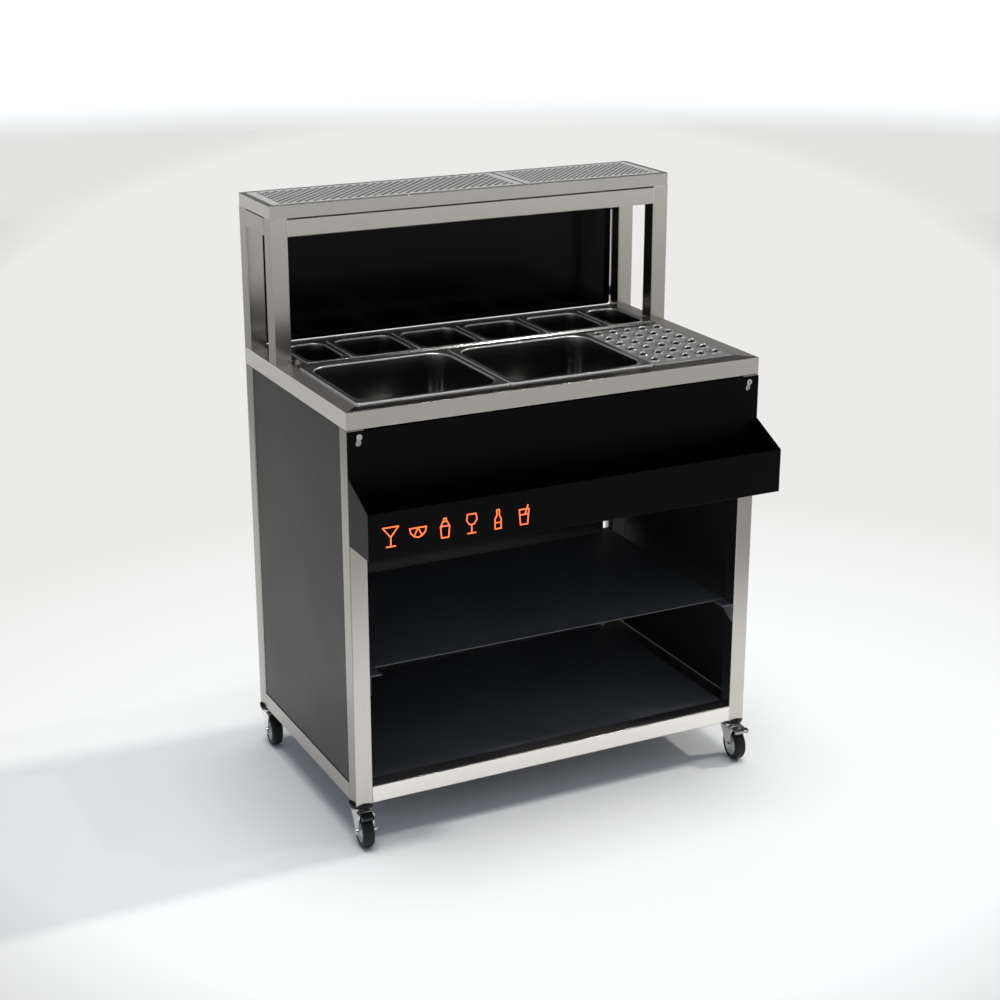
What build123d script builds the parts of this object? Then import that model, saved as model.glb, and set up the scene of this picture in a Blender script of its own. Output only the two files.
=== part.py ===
"""Mobile cocktail station: a welded square-tube cart on casters, in millimetres.

The worktop holds two large pans, a row of small pans and a louvred drainer over a drip tray.
A shelf frame stands on its rear half, and a bottle rail hangs on two shoulder screws in front.
X runs along the front, from left to right, Y from the front to the rear, and Z up from the floor.
The origin is on the floor, at the middle of the whole cart seen from above.
"""

import os
from math import atan2, degrees, hypot

from build123d import *

os.makedirs("parts", exist_ok=True)

# General clearances and thicknesses
seat = 0.3
overrun = 5.0
play = 1.0

# Square tube of the frame
tube = 40.0
tube_wall = 1.5
tube_corner = 2.5

# Food pans, outside sizes of their flanges and depths of their bowls
large_pan_width = 354.0
large_pan_length = 325.0
large_pan_depth = 150.0
large_flange = 14.0
large_bowl_corner = 45.0
small_pan_width = 162.0
small_pan_length = 176.0
small_pan_depth = 100.0
small_flange = 12.0
small_bowl_corner = 26.0
end_pan_width = 108.0
small_pan_gap = 4.0
small_row_right_gap = 7.0
pan_sheet = 1.2
pan_lip = 6.0
pan_corner = 7.0
pan_edge_round = 1.0
pan_mouth_round = 2.0
bowl_taper = 3.0
bowl_floor_round = 14.0

# Drainer and the drip tray under it
drainer_width = 206.0
drainer_sheet = 1.5
drainer_corner = 3.0
hood_radius = 12.0
hood_rise = 5.5
hood_length = 16.0
hood_sheet = 1.0
hood_pitch_x = 40.0
hood_pitch_y = 51.5
hood_shift = 14.0
hood_margin = 8.0
tray_sheet = 1.0
tray_depth = 30.0
tray_corner = 16.0
tray_floor_round = 6.0

# Worktop
worktop_height = 990.0
cross_bar = 23.0
cross_bar_height = 20.0
ledge_drop = 2.5
ledge_width = 10.0
ledge_thickness = 2.0
ledge_leg = 12.0
divider_width = 18.0

# Overshelf on the rear of the worktop
overshelf_depth = 200.0
overshelf_opening = 283.0
rim_slit = 2.0
rim_height = 29.0
rim_sheet = 1.5
rim_corner = 5.0
rim_margin = 12.0
rim_foot = 20.0
grille_sheet = 2.0
grille_ledge = 8.0
grille_joint_share = 0.625
grille_joint_gap = 5.0
coarse_pitch = 20.0
coarse_hole = 9.0
fine_pitch = 16.0
fine_hole = 7.0
grille_end_margin = 16.0
grille_side_margin = 8.0
upper_panel_gap = 2.5
upper_panel_corner = 8.0

# Cabinet
panel_sheet = 2.0
panel_recess = 2.0
panel_gap = 1.5
rear_panel_slit = 8.0
shelf_drop = 590.0
shelf_sheet = 2.0
shelf_play = 0.5
floor_ledge_width = 12.0
floor_ledge_thickness = 2.0
bearer_width = 30.0
bearer_height = 20.0
tab_width = 12.0
tab_height = 24.0
tab_sheet = 3.0
tab_height_shares = (0.08, 0.5, 0.92)
upper_tab_sheet = 2.0
upper_tab_shares = (0.12, 0.88)
nut_radius = 4.5
nut_height = 4.0
stud_radius = 2.5
stud_length = 10.0
bracket_width = 28.0
bracket_reach = 66.0
bracket_height = 44.0
bracket_sheet = 3.0
bracket_end_gap = 4.0

# Bottle rail, its hooks and the lit drawings on its front
rail_reach = 102.0
rail_sheet = 2.0
rail_drop_top = 42.0
rail_drop_slope = 140.0
rail_drop_front = 189.0
rail_drop_bottom = 288.0
rail_bend = 1.5
hook_inset = 26.0
hook_drop = 54.0
hook_lift = 14.0
hook_shank = 4.0
hook_head = 6.5
hook_head_height = 3.0
hook_socket = 2.4
hook_socket_depth = 1.8
hook_inner_length = 8.0
keyhole_gap = 0.7
motif_relief = 1.6
motif_stroke = 2.2
motif_height = 44.0
motif_cell = 61.0
motif_start = 19.0
motif_drop = 220.0

# Casters
caster_height = 98.0
wheel_radius = 37.5
tyre_width = 27.0
tyre_round = 8.0
hub_radius = 26.0
hub_width = 23.0
hub_recess = 4.0
hub_rim = 4.0
hub_boss = 9.0
hub_boss_gap = 0.3
hub_fit = 0.1
axle_radius = 4.0
axle_fit = 0.05
axle_head = 6.5
axle_head_height = 3.0
axle_cone = 9.0
axle_cone_tip = 2.0
axle_cone_length = 11.0
trail = 21.0
fork_gap = 2.0
fork_sheet = 2.5
fork_top = 86.0
fork_rear = 24.0
fork_front = 36.0
fork_boss = 9.5
fork_shoulder = 3.5
fork_disc = 24.0
crown_front = 24.0
crown_front_plain = 34.0
race_radius = 23.0
race_height = 2.0
cap_radius = 27.0
cap_round = 5.0
kingpin_radius = 8.0
kingpin_fit = 0.06
kingpin_head = 12.0
kingpin_head_height = 3.5
stem_radius = 6.0
plug_height = 30.0
plug_fit = 0.2
pedal_pin_forward = 30.0
pedal_pin_drop = 5.5
pedal_pin_radius = 2.2
pedal_hub = 4.4
pedal_front = 50.0
pedal_slope = 12.0
pedal_sheet = 3.5
pedal_lip = 4.0
pedal_round = 1.5
pedal_side_gap = 1.5
pedal_wing = 7.5
pedal_wing_gap = 2.0
caster_rest_angle = -5.0

# Plan of the worktop and the cabinet, worked out from the pans
inner_width = 2 * large_pan_width + drainer_width + 6 * play
width = inner_width + 2 * tube
depth = 2 * tube + large_pan_length + small_pan_length + cross_bar + 4 * play
back_reach = max(cap_radius - tube / 2, 0)
front = (rail_reach + motif_relief - depth - back_reach) / 2
rear = front + depth
left = -width / 2
right = width / 2
inner_left = left + tube
inner_right = right - tube
inner_front = front + tube
inner_rear = rear - tube
cross_front = inner_front + large_pan_length + 2 * play
cross_rear = cross_front + cross_bar
inner_depth = depth - 2 * tube

# Levels
frame_bottom = caster_height
base_top = frame_bottom + tube
worktop_under = worktop_height - tube
ledge_top = worktop_height - ledge_drop
ring_bottom = worktop_height + overshelf_opening
ring_top = ring_bottom + tube
post_top = ring_top + rim_slit
rim_top = post_top + rim_height
shelf_top = worktop_height - shelf_drop
shelf_front = rear - overshelf_depth

# Middles of the pans and the drainer
large_well_y = (inner_front + cross_front) / 2
small_well_y = (cross_rear + inner_rear) / 2
large_left_x = inner_left + play + large_pan_width / 2
large_right_x = large_left_x + large_pan_width + 2 * play
drainer_x = inner_right - play - drainer_width / 2
small_room = inner_width - small_row_right_gap - 2 * end_pan_width - small_pan_gap
small_count = int(small_room // (small_pan_width + small_pan_gap))
row_widths = [end_pan_width] + [small_pan_width] * small_count + [end_pan_width]
row_length = sum(row_widths) + small_pan_gap * (len(row_widths) - 1)
row_left = inner_right - small_row_right_gap - row_length


def save(part, name):
    """Label a finished piece and write it as one STEP file."""
    part.label = name
    export_step(part, f"parts/{name}.step")


def group(parts):
    """Join separate solids that share one node."""
    return Compound(children=list(parts))


def block(x0, x1, y0, y1, z0, z1):
    """A plain bar or sheet between six planes."""
    with BuildPart() as solid:
        with BuildSketch(Plane(((x0 + x1) / 2, (y0 + y1) / 2, z0))):
            Rectangle(x1 - x0, y1 - y0)
        extrude(amount=z1 - z0)
    return solid.part


def hollow_section(section_width, section_height):
    """The section of a tube with the frame's wall, drawn in the sketch that is open."""
    bore_width = section_width - 2 * tube_wall
    bore_height = section_height - 2 * tube_wall
    RectangleRounded(section_width, section_height, tube_corner)
    RectangleRounded(bore_width, bore_height, tube_corner - tube_wall, mode=Mode.SUBTRACT)


def square_tube(plane, length):
    """A length of the frame's tube, with its section centred on the plane's origin."""
    with BuildPart() as solid:
        with BuildSketch(plane):
            hollow_section(tube, tube)
        extrude(amount=length)
    return solid.part


def tube_along_x(x0, x1, y, z):
    """A tube from x0 to x1."""
    return square_tube(Plane(origin=(x0, y, z), x_dir=(0, 1, 0), z_dir=(1, 0, 0)), x1 - x0)


def tube_along_y(y0, y1, x, z):
    """A tube from y0 to y1."""
    return square_tube(Plane(origin=(x, y0, z), x_dir=(1, 0, 0), z_dir=(0, 1, 0)), y1 - y0)


# Cabinet posts: each stands between its caster and the worktop frame
corners = {
    "front_left": (left + tube / 2, front + tube / 2),
    "front_right": (right - tube / 2, front + tube / 2),
    "rear_left": (left + tube / 2, rear - tube / 2),
    "rear_right": (right - tube / 2, rear - tube / 2),
}
for corner, (post_x, post_y) in corners.items():
    side = -1 if post_x < 0 else 1
    with BuildPart() as cabinet_post:
        with BuildSketch(Plane((post_x, post_y, frame_bottom))):
            hollow_section(tube, tube)
        extrude(amount=worktop_under - frame_bottom)
        if post_y < (front + rear) / 2:
            hook_hole = Plane(
                origin=(side * (right - hook_inset), front - overrun, worktop_height - hook_drop),
                z_dir=(0, 1, 0),
            )
            with BuildSketch(hook_hole):
                Circle(hook_shank)
            extrude(amount=overrun + 2 * tube_wall, mode=Mode.SUBTRACT)
    save(cabinet_post.part, f"cabinet_post_{corner}")

# Plugs in the lower ends of the posts, bored for the caster stems
plug_side = tube - 2 * tube_wall - 2 * plug_fit
with BuildPart() as post_plugs:
    for post_x, post_y in corners.values():
        with BuildSketch(Plane((post_x, post_y, frame_bottom))):
            RectangleRounded(plug_side, plug_side, tube_corner - tube_wall)
            Circle(stem_radius + axle_fit, mode=Mode.SUBTRACT)
        extrude(amount=plug_height)
save(post_plugs.part, "post_plugs")

# Base rails, welded between the posts
base_z = frame_bottom + tube / 2
base_long = [tube_along_x(inner_left, inner_right, y, base_z) for y in (front + tube / 2, rear - tube / 2)]
save(group(base_long), "base_rails_long")
base_short = [tube_along_y(inner_front, inner_rear, x, base_z) for x in (left + tube / 2, right - tube / 2)]
save(group(base_short), "base_rails_short")

# Worktop frame: four tubes with mitred corners
frame_corners = [(left, front), (right, front), (right, rear), (left, rear)]
well_corners = [
    (inner_left, inner_front),
    (inner_right, inner_front),
    (inner_right, inner_rear),
    (inner_left, inner_rear),
]
worktop_z = worktop_height - tube / 2
worktop_tubes = {
    "front": tube_along_x(left, right, front + tube / 2, worktop_z),
    "right": tube_along_y(front, rear, right - tube / 2, worktop_z),
    "rear": tube_along_x(left, right, rear - tube / 2, worktop_z),
    "left": tube_along_y(front, rear, left + tube / 2, worktop_z),
}
for index, (name, whole_tube) in enumerate(worktop_tubes.items()):
    after = (index + 1) % len(frame_corners)
    mitred_outline = [frame_corners[index], frame_corners[after], well_corners[after], well_corners[index]]
    with BuildPart() as worktop_rail:
        add(whole_tube)
        with BuildSketch(Plane.XY.offset(worktop_under - overrun)):
            Polygon(*mitred_outline, align=None)
        extrude(amount=tube + 2 * overrun, mode=Mode.INTERSECT)
    worktop_tubes[name] = worktop_rail.part
save(group([worktop_tubes["front"], worktop_tubes["rear"]]), "worktop_rails_long")
save(group([worktop_tubes["left"], worktop_tubes["right"]]), "worktop_rails_short")

# Bar between the large and the small pans
with BuildPart() as pan_cross_bar:
    section_plane = Plane(
        origin=(inner_left, (cross_front + cross_rear) / 2, worktop_height - cross_bar_height / 2),
        x_dir=(0, 1, 0),
        z_dir=(1, 0, 0),
    )
    with BuildSketch(section_plane):
        hollow_section(cross_bar, cross_bar_height)
    extrude(amount=inner_width)
save(pan_cross_bar.part, "pan_cross_bar")

# Angle ledges that carry the pan flanges: one on each side of both wells
ledges = []
for wall_y, inward in ((inner_front, 1), (cross_front, -1), (cross_rear, 1), (inner_rear, -1)):
    shelf_y = sorted((wall_y, wall_y + inward * ledge_width))
    leg_y = sorted((wall_y, wall_y + inward * ledge_thickness))
    with BuildPart() as ledge:
        add(block(inner_left, inner_right, *shelf_y, ledge_top - ledge_thickness, ledge_top))
        add(block(inner_left, inner_right, *leg_y, ledge_top - ledge_leg, ledge_top))
    ledges.append(ledge.part)
save(group(ledges), "pan_ledges")

# Divider strips under the flanges of neighbouring pans
row_joints = []
joint_x = row_left - small_pan_gap / 2
for pan_width in row_widths[:-1]:
    joint_x += pan_width + small_pan_gap
    row_joints.append(joint_x)
well_joints = [
    large_left_x + large_pan_width / 2 + play,
    large_right_x + large_pan_width / 2 + play,
]
dividers = [
    block(
        x - divider_width / 2,
        x + divider_width / 2,
        inner_front + ledge_width,
        cross_front - ledge_width,
        ledge_top - ledge_thickness,
        ledge_top,
    )
    for x in well_joints
]
dividers += [
    block(
        x - divider_width / 2,
        x + divider_width / 2,
        cross_rear + ledge_width,
        inner_rear - ledge_width,
        ledge_top - ledge_thickness,
        ledge_top,
    )
    for x in row_joints
]
save(group(dividers), "pan_dividers")


def food_pan(flange_width, flange_length, flange, bowl_corner, bowl_depth):
    """A pan centred on X and Y, with its lip standing on Z = 0 and its bowl below the flange."""
    flange_top = pan_lip
    flange_under = flange_top - pan_sheet
    mouth_width = flange_width - 2 * flange
    mouth_length = flange_length - 2 * flange
    outer_mouth = (mouth_width + 2 * pan_sheet, mouth_length + 2 * pan_sheet)
    lip_inside = (flange_width - 2 * pan_sheet, flange_length - 2 * pan_sheet)
    with BuildPart() as bowl_space:
        with BuildSketch(Plane.XY.offset(flange_top)):
            RectangleRounded(mouth_width, mouth_length, bowl_corner)
        extrude(amount=-(bowl_depth - pan_sheet), taper=bowl_taper)
        fillet(bowl_space.faces().sort_by(Axis.Z)[0].edges(), bowl_floor_round)
    with BuildPart() as pan:
        with BuildSketch(Plane.XY.offset(flange_top)):
            RectangleRounded(*outer_mouth, bowl_corner + pan_sheet)
        extrude(amount=-bowl_depth, taper=bowl_taper)
        fillet(pan.faces().sort_by(Axis.Z)[0].edges(), bowl_floor_round + pan_sheet)
        with BuildSketch(Plane.XY.offset(flange_under)):
            RectangleRounded(flange_width, flange_length, pan_corner)
        extrude(amount=pan_sheet)
        with BuildSketch(Plane.XY):
            RectangleRounded(flange_width, flange_length, pan_corner)
            RectangleRounded(*lip_inside, pan_corner - pan_sheet, mode=Mode.SUBTRACT)
        extrude(amount=flange_under)
        add(bowl_space.part, mode=Mode.SUBTRACT)
        top_face = pan.faces().filter_by(Plane.XY).sort_by(Axis.Z)[-1]
        fillet(top_face.outer_wire().edges(), pan_edge_round)
        top_face = pan.faces().filter_by(Plane.XY).sort_by(Axis.Z)[-1]
        fillet(top_face.inner_wires()[0].edges(), pan_mouth_round)
    return pan.part


# Large pans, side by side in the front well
large_pan = food_pan(large_pan_width, large_pan_length, large_flange, large_bowl_corner, large_pan_depth)
for side_name, pan_x in (("left", large_left_x), ("right", large_right_x)):
    save(large_pan.moved(Location((pan_x, large_well_y, ledge_top))), f"large_pan_{side_name}")

# Small pans: a narrow one at each end of the rear well and wider ones between
pan_x = row_left
for number, pan_width in enumerate(row_widths, start=1):
    small_pan = food_pan(pan_width, small_pan_length, small_flange, small_bowl_corner, small_pan_depth)
    placed_pan = small_pan.moved(Location((pan_x + pan_width / 2, small_well_y, ledge_top)))
    save(placed_pan, f"small_pan_{number}")
    pan_x += pan_width + small_pan_gap

# Drip tray: a flat flange on the ledges and a shallow bowl under the louvres
tray_top = ledge_top + tray_sheet
tray_width = drainer_width - 2 * large_flange
tray_length = large_pan_length - 2 * large_flange
with BuildPart() as tray_space:
    with BuildSketch(Plane((drainer_x, large_well_y, tray_top))):
        RectangleRounded(tray_width, tray_length, tray_corner)
    extrude(amount=-(tray_depth - tray_sheet))
    fillet(tray_space.faces().sort_by(Axis.Z)[0].edges(), tray_floor_round)
with BuildPart() as drip_tray:
    with BuildSketch(Plane((drainer_x, large_well_y, tray_top))):
        RectangleRounded(tray_width + 2 * tray_sheet, tray_length + 2 * tray_sheet, tray_corner + tray_sheet)
    extrude(amount=-tray_depth)
    fillet(drip_tray.faces().sort_by(Axis.Z)[0].edges(), tray_floor_round + tray_sheet)
    with BuildSketch(Plane((drainer_x, large_well_y, ledge_top))):
        RectangleRounded(drainer_width, large_pan_length, drainer_corner)
    extrude(amount=tray_sheet)
    add(tray_space.part, mode=Mode.SUBTRACT)
save(drip_tray.part, "drip_tray")

# Drainer plate: pressed hoods open towards the front, each over a slot in the plate
hood_sink = hood_radius - hood_rise
hood_half_width = (hood_radius**2 - hood_sink**2) ** 0.5
hood_axis = Axis((0, 0, -hood_sink), (0, 1, 0))
with BuildPart() as hood:
    with BuildSketch(Plane.YZ):
        with BuildLine():
            Polyline(
                (-hood_length / 2, -hood_sink),
                (-hood_length / 2, hood_rise),
                (hood_length / 2, 0),
                (hood_length / 2, -hood_sink),
                close=True,
            )
        make_face()
    revolve(axis=hood_axis, revolution_arc=360)
    with BuildSketch(Plane.XY.offset(-drainer_sheet / 2)):
        Rectangle(2 * hood_radius + overrun, hood_length + overrun)
    extrude(amount=hood_radius, mode=Mode.INTERSECT)
with BuildPart() as hood_space:
    with BuildSketch(Plane.YZ):
        with BuildLine():
            Polyline(
                (-hood_length / 2 - hood_sheet, -hood_sink),
                (-hood_length / 2 - hood_sheet, hood_rise - hood_sheet),
                (-hood_length / 2, hood_rise - hood_sheet),
                (hood_length / 2 - hood_sheet, -hood_sheet),
                (hood_length / 2 - hood_sheet, -hood_sink),
                close=True,
            )
        make_face()
    revolve(axis=hood_axis, revolution_arc=360)
hood_columns = int((drainer_width - 2 * hood_margin - 2 * hood_half_width) // hood_pitch_x) + 1
hood_rows = int((large_pan_length - 2 * hood_margin - hood_length - hood_shift) // hood_pitch_y) + 1
with BuildPart() as drainer_plate:
    with BuildSketch(Plane((drainer_x, large_well_y, tray_top))):
        RectangleRounded(drainer_width, large_pan_length, drainer_corner)
    extrude(amount=worktop_height - tray_top)
    with Locations((drainer_x, large_well_y + hood_shift, worktop_height)):
        with GridLocations(hood_pitch_x, hood_pitch_y, hood_columns, hood_rows):
            add(hood.part)
        with GridLocations(hood_pitch_x, hood_pitch_y, hood_columns, hood_rows):
            add(hood_space.part, mode=Mode.SUBTRACT)
save(drainer_plate.part, "drainer_plate")

# Overshelf posts, flush with the worktop's edges
overshelf_y = (shelf_front + rear) / 2
overshelf_corners = {
    "front_left": (left + tube / 2, shelf_front + tube / 2),
    "front_right": (right - tube / 2, shelf_front + tube / 2),
    "rear_left": (left + tube / 2, rear - tube / 2),
    "rear_right": (right - tube / 2, rear - tube / 2),
}
for corner, (post_x, post_y) in overshelf_corners.items():
    overshelf_post = square_tube(Plane((post_x, post_y, worktop_height)), post_top - worktop_height)
    save(overshelf_post, f"overshelf_post_{corner}")

# Overshelf ring, welded between the posts a little below their tops
ring_z = ring_bottom + tube / 2
ring_long = [
    tube_along_x(inner_left, inner_right, y, ring_z) for y in (shelf_front + tube / 2, rear - tube / 2)
]
save(group(ring_long), "overshelf_bars_long")
ring_short = [
    tube_along_y(shelf_front + tube, inner_rear, x, ring_z) for x in (left + tube / 2, right - tube / 2)
]
save(group(ring_short), "overshelf_bars_short")

# Rim tray on top of the posts, with a ledge for the two perforated plates
opening_width = width - 2 * rim_margin
opening_depth = overshelf_depth - 2 * rim_margin
grille_top = rim_top
grille_under = grille_top - grille_sheet
with BuildPart() as top_rim:
    with BuildSketch(Plane((0, overshelf_y, post_top))):
        RectangleRounded(width, overshelf_depth, rim_corner)
    extrude(amount=rim_height)
    fillet(top_rim.faces().sort_by(Axis.Z)[-1].edges(), rim_sheet)
    with BuildSketch(Plane((0, overshelf_y, post_top + rim_sheet))):
        RectangleRounded(width - 2 * rim_sheet, overshelf_depth - 2 * rim_sheet, rim_corner - rim_sheet)
    extrude(amount=rim_height - 2 * rim_sheet, mode=Mode.SUBTRACT)
    with BuildSketch(Plane((0, overshelf_y, post_top))):
        Rectangle(width - 2 * rim_foot, overshelf_depth - 2 * rim_foot)
    extrude(amount=rim_sheet, mode=Mode.SUBTRACT)
    with BuildSketch(Plane((0, overshelf_y, rim_top - rim_sheet))):
        Rectangle(opening_width, opening_depth)
    extrude(amount=rim_sheet, mode=Mode.SUBTRACT)
    with BuildSketch(Plane((0, overshelf_y, grille_under - rim_sheet))):
        Rectangle(opening_width + 2 * rim_sheet, opening_depth + 2 * rim_sheet)
        Rectangle(opening_width - 2 * grille_ledge, opening_depth - 2 * grille_ledge, mode=Mode.SUBTRACT)
    extrude(amount=rim_sheet)
    with BuildSketch(Plane((0, overshelf_y, grille_under))):
        Rectangle(opening_width + 2 * rim_sheet, opening_depth + 2 * rim_sheet)
        Rectangle(opening_width, opening_depth, mode=Mode.SUBTRACT)
    extrude(amount=grille_sheet)
save(top_rim.part, "top_rim")


def grille(x0, x1, pitch, hole):
    """A plate with square holes set on edge, in rows that are half a pitch apart."""
    plate_width = x1 - x0
    plate_depth = opening_depth - 2 * play
    columns = int((plate_width - 2 * grille_end_margin - hole) // pitch) + 1
    rows = int((plate_depth - 2 * grille_side_margin - hole) // pitch) + 1
    with BuildPart() as plate:
        with BuildSketch(Plane(((x0 + x1) / 2, overshelf_y, grille_under))):
            Rectangle(plate_width, plate_depth)
            with GridLocations(pitch, pitch, columns, rows):
                Rectangle(hole, hole, rotation=45, mode=Mode.SUBTRACT)
            with GridLocations(pitch, pitch, columns - 1, rows - 1):
                Rectangle(hole, hole, rotation=45, mode=Mode.SUBTRACT)
        extrude(amount=grille_sheet)
    return plate.part


# Perforated plates: a coarse one on the left and a fine one on the right
grille_joint = left + width * grille_joint_share
joint_left = grille_joint - grille_joint_gap / 2
joint_right = grille_joint + grille_joint_gap / 2
save(grille(left + rim_margin + play, joint_left, coarse_pitch, coarse_hole), "grille_left")
save(grille(joint_right, right - rim_margin - play, fine_pitch, fine_hole), "grille_right")

# Glossy panel between the rear overshelf posts, standing a little off every tube
panel_outer_y = rear - panel_recess
with BuildPart() as upper_panel:
    panel_plane = Plane(
        origin=(0, panel_outer_y, (worktop_height + ring_bottom) / 2), x_dir=(1, 0, 0), z_dir=(0, -1, 0)
    )
    with BuildSketch(panel_plane):
        RectangleRounded(
            inner_width - 2 * upper_panel_gap, overshelf_opening - 2 * upper_panel_gap, upper_panel_corner
        )
    extrude(amount=panel_sheet)
save(upper_panel.part, "upper_panel")

# Side panels, sunk a little into the cabinet's side frames
panel_low = base_top + panel_gap
panel_high = worktop_under - panel_gap
for side_name, side in (("left", -1), ("right", 1)):
    panel_x = sorted((side * (right - panel_recess), side * (right - panel_recess - panel_sheet)))
    side_panel = block(*panel_x, inner_front + panel_gap, inner_rear - panel_gap, panel_low, panel_high)
    save(side_panel, f"side_panel_{side_name}")

# Rear panel, with a slit beside each post
slit_left = inner_left + rear_panel_slit
slit_right = inner_right - rear_panel_slit
rear_panel = block(slit_left, slit_right, panel_outer_y - panel_sheet, panel_outer_y, panel_low, panel_high)
save(rear_panel, "rear_panel")

# Floor panel, flush with the base rails, on two ledges and a bearer
floor_panel = block(
    inner_left + shelf_play,
    inner_right - shelf_play,
    inner_front + shelf_play,
    inner_rear - shelf_play,
    base_top - panel_sheet,
    base_top,
)
save(floor_panel, "floor_panel")
floor_under = base_top - panel_sheet
ledge_under = floor_under - floor_ledge_thickness
front_ledge = block(
    inner_left, inner_right, inner_front, inner_front + floor_ledge_width, ledge_under, floor_under
)
rear_ledge = block(
    inner_left, inner_right, inner_rear - floor_ledge_width, inner_rear, ledge_under, floor_under
)
with BuildPart() as bearer:
    bearer_plane = Plane(
        origin=(inner_left, (inner_front + inner_rear) / 2, floor_under - bearer_height / 2),
        x_dir=(0, 1, 0),
        z_dir=(1, 0, 0),
    )
    with BuildSketch(bearer_plane):
        hollow_section(bearer_width, bearer_height)
    extrude(amount=inner_width)
save(group([front_ledge, rear_ledge, bearer.part]), "floor_supports")

# Middle shelf and the four gusset brackets under its corners
middle_shelf = block(
    inner_left + shelf_play,
    inner_right - shelf_play,
    inner_front + shelf_play,
    inner_rear - shelf_play,
    shelf_top - shelf_sheet,
    shelf_top,
)
save(middle_shelf, "middle_shelf")
bracket_top = shelf_top - shelf_sheet
rear_panel_inside = panel_outer_y - panel_sheet
brackets = []
for side in (-1, 1):
    for start_y, inward in ((front + bracket_end_gap, 1), (rear_panel_inside - bracket_end_gap, -1)):
        wall_x = side * (width / 2 - tube)
        flange_x = sorted((wall_x, wall_x - side * bracket_width))
        gusset_plane = Plane(origin=(wall_x, start_y, bracket_top), x_dir=(0, inward, 0), z_dir=(-side, 0, 0))
        drop = inward * side
        flange_y = sorted((start_y, start_y + inward * bracket_reach))
        with BuildPart() as bracket:
            add(block(*flange_x, *flange_y, bracket_top - bracket_sheet, bracket_top))
            with BuildSketch(gusset_plane):
                Polygon((0, 0), (bracket_reach, 0), (0, drop * bracket_height), align=None)
            extrude(amount=bracket_sheet)
        brackets.append(bracket.part)
save(group(brackets), "shelf_brackets")


def tab(plane, length):
    """A flat tab welded to a tube, bored for a stud: the plane lies on the panel's inner face."""
    with BuildPart() as strip:
        with BuildSketch(plane):
            Rectangle(length, tab_height)
            Circle(stud_radius + axle_fit, mode=Mode.SUBTRACT)
        extrude(amount=tab_sheet)
    return strip.part


def stud(plane):
    """A stud welded to the panel's inner face, which passes through the tab."""
    with BuildPart() as pin:
        with BuildSketch(plane):
            Circle(stud_radius)
        extrude(amount=stud_length)
    return pin.part


def nut(plane):
    """A hexagon nut on the stud, against the tab."""
    with BuildPart() as hexagon:
        with BuildSketch(plane.offset(tab_sheet)):
            RegularPolygon(nut_radius, 6)
            Circle(stud_radius + axle_fit, mode=Mode.SUBTRACT)
        extrude(amount=nut_height)
    return hexagon.part


# Tabs that hold the side and rear panels, each with a stud and a nut
tab_planes = []
tabs = []
rear_tab_length = 2 * (rear_panel_slit + tab_width / 2)
for share in tab_height_shares:
    tab_z = panel_low + share * (panel_high - panel_low)
    for side in (-1, 1):
        side_x = side * (right - panel_recess - panel_sheet)
        for tab_y in (inner_front + tab_width / 2, inner_rear - tab_width / 2):
            side_plane = Plane(origin=(side_x, tab_y, tab_z), x_dir=(0, 1, 0), z_dir=(-side, 0, 0))
            tab_planes.append(side_plane)
            tabs.append(tab(side_plane, tab_width))
        rear_x = side * (width / 2 - tube - rear_tab_length / 2)
        rear_plane = Plane(origin=(rear_x, rear_panel_inside, tab_z), x_dir=(1, 0, 0), z_dir=(0, -1, 0))
        tab_planes.append(rear_plane)
        tabs.append(tab(rear_plane, rear_tab_length))

# Tabs behind the glossy panel, welded to the overshelf posts
for share in upper_tab_shares:
    tab_z = worktop_height + share * overshelf_opening
    for side in (-1, 1):
        tab_x = sorted((side * inner_right, side * (inner_right - upper_panel_gap - tab_width)))
        tab_low = tab_z - tab_height / 2
        tab_y = (panel_outer_y, panel_outer_y + upper_tab_sheet)
        tabs.append(block(*tab_x, *tab_y, tab_low, tab_low + tab_height))
save(group(tabs), "panel_tabs")
save(group([stud(plane) for plane in tab_planes] + [nut(plane) for plane in tab_planes]), "panel_fixings")

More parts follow.
